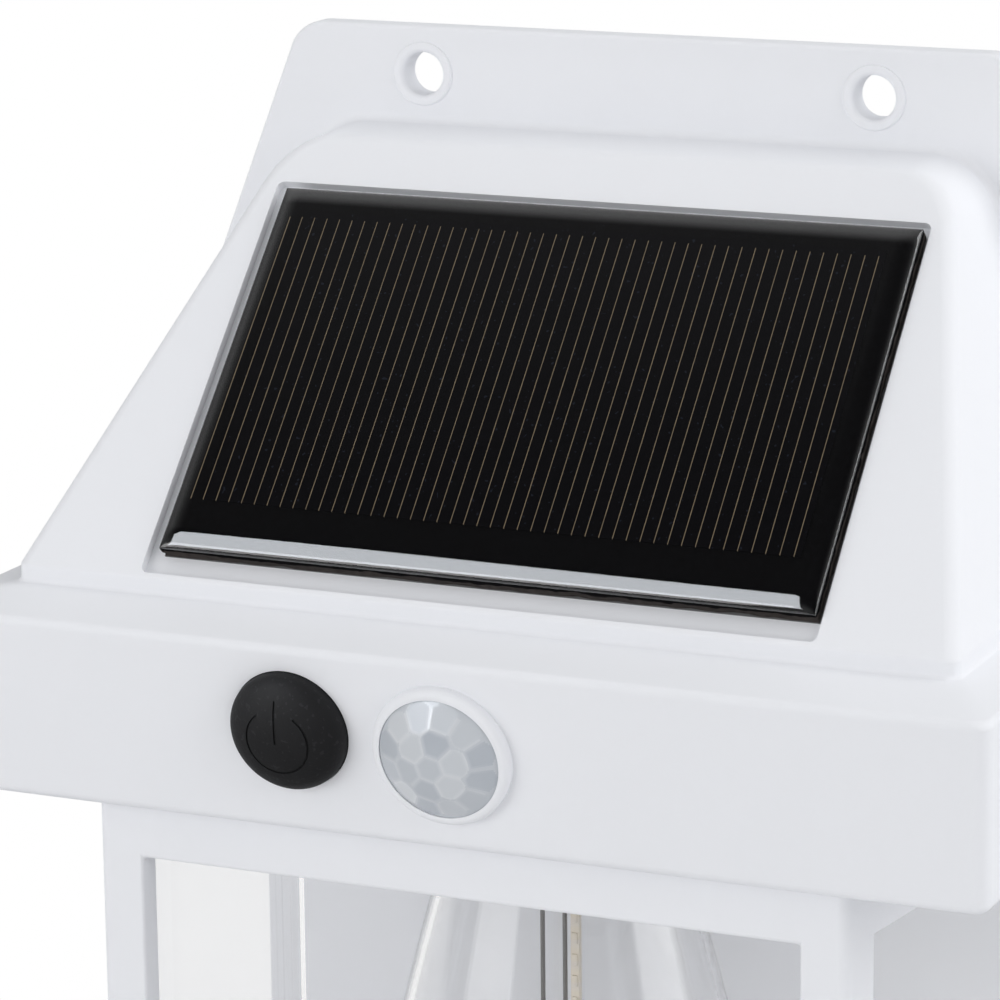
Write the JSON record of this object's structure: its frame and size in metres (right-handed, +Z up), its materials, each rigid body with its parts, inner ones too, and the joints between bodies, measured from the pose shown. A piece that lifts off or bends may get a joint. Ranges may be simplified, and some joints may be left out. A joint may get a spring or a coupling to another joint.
{
  "type": "solar wall light",
  "caption": "Solar wall light: sloping solar roof over a leaning band with a push button and motion lens, above a windowed lantern with a clear bulb.",
  "frame": {"origin": "on the wall, midway between the two wall screws", "axes": "+Z up, +Y into the wall, +X to the right as seen from the front"},
  "size_m": [0.1152, 0.0616, 0.1471],
  "materials": {
    "white_plastic": "satin moulded white",
    "black_rubber": "matte black silicone",
    "steel": "plain zinc",
    "foam": "adhesive film",
    "panel_board": "black laminate with a rough cut edge",
    "solar_cells": "black silicon with thin tan lines",
    "resin": "clear, glossy",
    "wire": "insulated wire, red and black",
    "black_plastic": "matte",
    "circuit_board": "green solder mask",
    "milky_lens": "milky white, faceted",
    "cell_sleeve": "shrink sleeve",
    "ivory_plastic": "moulded connector",
    "clear_plastic": "clear, glossy",
    "light_strip": "tan phosphor coat",
    "lead_wire": "dark oxidised wire"
  },
  "bodies": {
    "light": {"housing": "white_plastic", "rear_cover": "white_plastic", "rear_cover_seal": "black_rubber", "rear_cover_screws": "steel", "panel_adhesive": "foam", "panel_board": "panel_board", "solar_cells": "solar_cells", "panel_resin": "resin", "panel_leads": "wire", "switch_body": "steel", "control_board": "circuit_board", "control_chip": "black_plastic", "board_components": "black_plastic", "board_screws": "steel", "sensor_lens": "milky_lens", "sensor_can": "steel", "sensor_window": "black_plastic", "battery_cell": "cell_sleeve", "battery_leads": "wire", "battery_socket": "ivory_plastic", "battery_plug": "ivory_plastic", "bulb_envelope": "clear_plastic", "bulb_clamp": "white_plastic", "clamp_screws": "steel", "light_board": "circuit_board", "light_strip": "light_strip", "strip_leads": "lead_wire", "light_board_leads": "wire", "lantern_frame": "white_plastic", "clear_liner": "clear_plastic", "lantern_base": "white_plastic", "lantern_screws": "steel", "base_screws": "steel"},
    "button": {"power_button": "black_rubber"},
    "plunger": {"switch_plunger": "black_plastic"}
  },
  "joints": [
    {"name": "button_press", "type": "slide", "parent": "light", "child": "button", "axis": [0, 0.982, 0.1891], "range_m": [0, 0.0005], "stiffness_N_per_m": 1000},
    {"name": "plunger_press", "type": "slide", "parent": "light", "child": "plunger", "axis": [0, 0.982, 0.1891], "range_m": [0, 0.0005]}
  ],
  "couplings": [
    {"joint": "plunger_press", "follows": "button_press", "ratio": 1}
  ]
}
